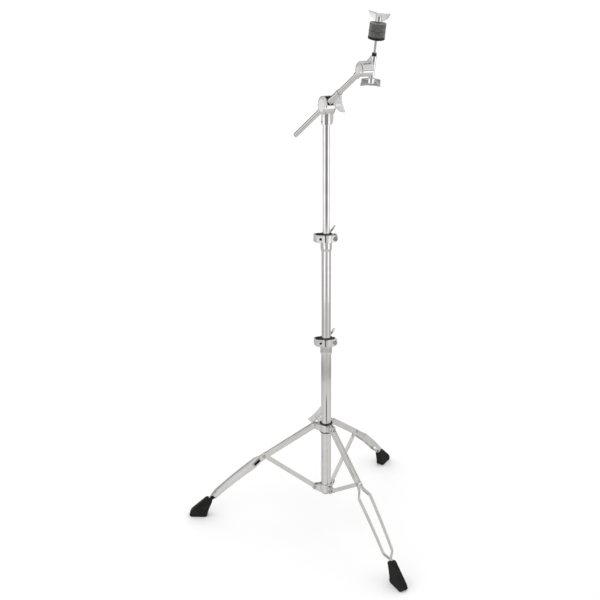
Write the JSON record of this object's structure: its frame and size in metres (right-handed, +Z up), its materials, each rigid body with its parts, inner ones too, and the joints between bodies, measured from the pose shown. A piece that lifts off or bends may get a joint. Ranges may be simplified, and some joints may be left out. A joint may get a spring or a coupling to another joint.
{
  "type": "cymbal boom stand",
  "caption": "Chromed boom stand for a cymbal: folding double-braced tripod, telescopic mast with split clamps, drum tilter, sliding boom arm and a tilting rod with felts.",
  "frame": {"origin": "middle of the bounding box in X and Y, on the floor under the rubber feet", "axes": "+Z up along the mast; +X to the right of the picture; -Y towards the camera; the boom arm leans up towards +X and -Y"},
  "size_m": [0.6172, 0.7128, 1.4276],
  "materials": {
    "chrome": "bright chrome plating on steel and castings",
    "dull_steel": "nickel-grey plated steel rivets, bolts and rod",
    "black_steel": "black oxide steel, slightly shiny",
    "nylon": "black nylon, smooth",
    "rubber": "black moulded rubber with fine ribs",
    "felt": "dark grey pressed wool felt"
  },
  "bodies": {
    "base": {"base_tube": "chrome", "bottom_collar": "chrome", "base_end_plug": "nylon", "leg_1_brace_rivet": "dull_steel", "leg_2_brace_rivet": "dull_steel", "leg_3_brace_rivet": "dull_steel", "lower_clamp_housing": "chrome", "lower_clamp_side_bolt": "dull_steel", "lower_clamp_key_screw": "black_steel"},
    "brace_1": {"leg_1_brace": "chrome"},
    "brace_2": {"leg_2_brace": "chrome"},
    "brace_3": {"leg_3_brace": "chrome"},
    "leg_1": {"leg_1_strip_left": "chrome", "leg_1_strip_right": "chrome", "leg_1_foot": "rubber", "leg_1_knee_rivet": "dull_steel"},
    "leg_2": {"leg_2_strip_left": "chrome", "leg_2_strip_right": "chrome", "leg_2_foot": "rubber", "leg_2_knee_rivet": "dull_steel"},
    "leg_3": {"leg_3_strip_left": "chrome", "leg_3_strip_right": "chrome", "leg_3_foot": "rubber", "leg_3_knee_rivet": "dull_steel"},
    "leg_collar": {"leg_collar": "chrome", "leg_collar_bushing_top": "nylon", "leg_collar_bushing_bottom": "nylon", "leg_1_collar_rivet": "chrome", "leg_2_collar_rivet": "chrome", "leg_3_collar_rivet": "chrome"},
    "collar_wing": {"leg_collar_wing_bolt": "chrome"},
    "lower_wing": {"lower_clamp_wing_bolt": "chrome"},
    "lower_bushing": {"lower_clamp_bushing": "nylon"},
    "mid_tube": {"middle_tube": "chrome", "upper_clamp_housing": "chrome", "upper_clamp_side_bolt": "dull_steel", "upper_clamp_key_screw": "black_steel"},
    "upper_wing": {"upper_clamp_wing_bolt": "chrome"},
    "upper_bushing": {"upper_clamp_bushing": "nylon"},
    "top_tube": {"top_tube": "chrome", "tilter_housing": "chrome", "tilter_cover": "chrome", "tilter_grub_screw": "black_steel"},
    "tilter_wing": {"tilter_wing_bolt": "chrome"},
    "barrel": {"tilter_barrel": "chrome"},
    "arm_lock": {"arm_lock_screw": "dull_steel"},
    "arm_ring": {"arm_sleeve_ring": "chrome"},
    "arm": {"boom_tube": "chrome", "boom_end_cap": "nylon", "cymbal_hub": "chrome"},
    "cymbal_post": {"cymbal_saddle": "chrome", "cymbal_jaw": "chrome", "cymbal_rod": "dull_steel", "rod_lock_nut": "black_steel", "cup_washer": "black_steel", "felt_sleeve": "nylon", "felt_lower": "felt", "felt_upper": "felt"},
    "bottom_nut": {"tilter_wing_nut": "chrome"},
    "top_nut": {"cymbal_wing_nut": "chrome"}
  },
  "joints": [
    {"name": "fold", "type": "hinge", "parent": "base", "child": "brace_1", "pos_m": [0.06339, 0, 0.101], "axis": [0, 1, 0], "range_deg": [-4, 47]},
    {"name": "knee_1", "type": "hinge", "parent": "brace_1", "child": "leg_1", "pos_m": [-0.08283, 0, 0.20074], "axis": [0, 1, 0], "range_deg": [-94.5, 8.5]},
    {"name": "collar_lift", "type": "hinge", "parent": "leg_1", "child": "leg_collar", "pos_m": [0.06339, 0, 0.30049], "axis": [0, 1, 0], "range_deg": [-4.5, 47.5]},
    {"name": "brace_2_fold", "type": "hinge", "parent": "base", "child": "brace_2", "pos_m": [0.11289, -0.02858, 0.101], "axis": [-0.866, -0.5, 0], "range_deg": [-4.5, 47.5]},
    {"name": "knee_2", "type": "hinge", "parent": "brace_2", "child": "leg_2", "pos_m": [0.186, -0.15521, 0.20074], "axis": [-0.866, -0.5, 0], "range_deg": [-94.5, 8.5]},
    {"name": "brace_3_fold", "type": "hinge", "parent": "base", "child": "brace_3", "pos_m": [0.11289, 0.02858, 0.101], "axis": [0.866, -0.5, 0], "range_deg": [-4.5, 47.5]},
    {"name": "knee_3", "type": "hinge", "parent": "brace_3", "child": "leg_3", "pos_m": [0.186, 0.15521, 0.20074], "axis": [0.866, -0.5, 0], "range_deg": [-94.5, 8.5]},
    {"name": "collar_wing_turn", "type": "hinge", "parent": "leg_collar", "child": "collar_wing", "pos_m": [0.09639, 0, 0.291], "axis": [-0.5255, 0.779, 0.342], "continuous": true},
    {"name": "lower_wing_turn", "type": "hinge", "parent": "base", "child": "lower_wing", "pos_m": [0.09639, 0, 0.556], "axis": [0.1392, 0.9903, 0], "continuous": true},
    {"name": "upper_wing_turn", "type": "hinge", "parent": "mid_tube", "child": "upper_wing", "pos_m": [0.09639, 0, 0.8515], "axis": [0.1392, 0.9903, 0], "continuous": true},
    {"name": "mid_turn", "type": "hinge", "parent": "base", "child": "lower_bushing", "pos_m": [0.09639, 0, 0.5455], "axis": [0, 0, 1], "continuous": true},
    {"name": "mid_slide", "type": "slide", "parent": "lower_bushing", "child": "mid_tube", "axis": [0, 0, 1], "range_m": [-0.23, 0.12]},
    {"name": "top_turn", "type": "hinge", "parent": "mid_tube", "child": "upper_bushing", "pos_m": [0.09639, 0, 0.841], "axis": [0, 0, 1], "continuous": true},
    {"name": "top_slide", "type": "slide", "parent": "upper_bushing", "child": "top_tube", "axis": [0, 0, 1], "range_m": [-0.265, 0.1]},
    {"name": "tilter_wing_turn", "type": "hinge", "parent": "top_tube", "child": "tilter_wing", "pos_m": [0.09639, 0, 1.1974], "axis": [0.891, 0.454, 0], "continuous": true},
    {"name": "boom_tilt", "type": "hinge", "parent": "top_tube", "child": "barrel", "pos_m": [0.09639, 0, 1.1974], "axis": [-0.891, -0.454, 0], "range_deg": [-1, 32]},
    {"name": "arm_lock_turn", "type": "hinge", "parent": "barrel", "child": "arm_lock", "pos_m": [0.11363, -0.03383, 1.21759], "axis": [0.891, 0.454, 0], "continuous": true},
    {"name": "arm_spin", "type": "hinge", "parent": "barrel", "child": "arm_ring", "pos_m": [0.09639, 0, 1.1974], "axis": [0.4008, -0.7867, 0.4695], "continuous": true},
    {"name": "arm_slide", "type": "slide", "parent": "arm_ring", "child": "arm", "axis": [0.4008, -0.7867, 0.4695], "range_m": [-0.09, 0.15]},
    {"name": "cymbal_tilt", "type": "hinge", "parent": "arm", "child": "cymbal_post", "pos_m": [0.18017, -0.16442, 1.29552], "axis": [0.891, 0.454, 0], "range_deg": [-14, 12]},
    {"name": "bottom_nut_turn", "type": "hinge", "parent": "cymbal_post", "child": "bottom_nut", "pos_m": [0.20315, -0.15271, 1.29552], "axis": [0.0975, -0.1913, 0.9767], "continuous": true},
    {"name": "top_nut_turn", "type": "hinge", "parent": "cymbal_post", "child": "top_nut", "pos_m": [0.20315, -0.15271, 1.29552], "axis": [0.0975, -0.1913, 0.9767], "continuous": true}
  ],
  "couplings": [
    {"joint": "knee_1", "follows": "fold", "ratio": -2},
    {"joint": "collar_lift", "follows": "fold", "ratio": 1},
    {"joint": "brace_2_fold", "follows": "fold", "ratio": 1},
    {"joint": "knee_2", "follows": "fold", "ratio": -2},
    {"joint": "brace_3_fold", "follows": "fold", "ratio": 1},
    {"joint": "knee_3", "follows": "fold", "ratio": -2}
  ]
}
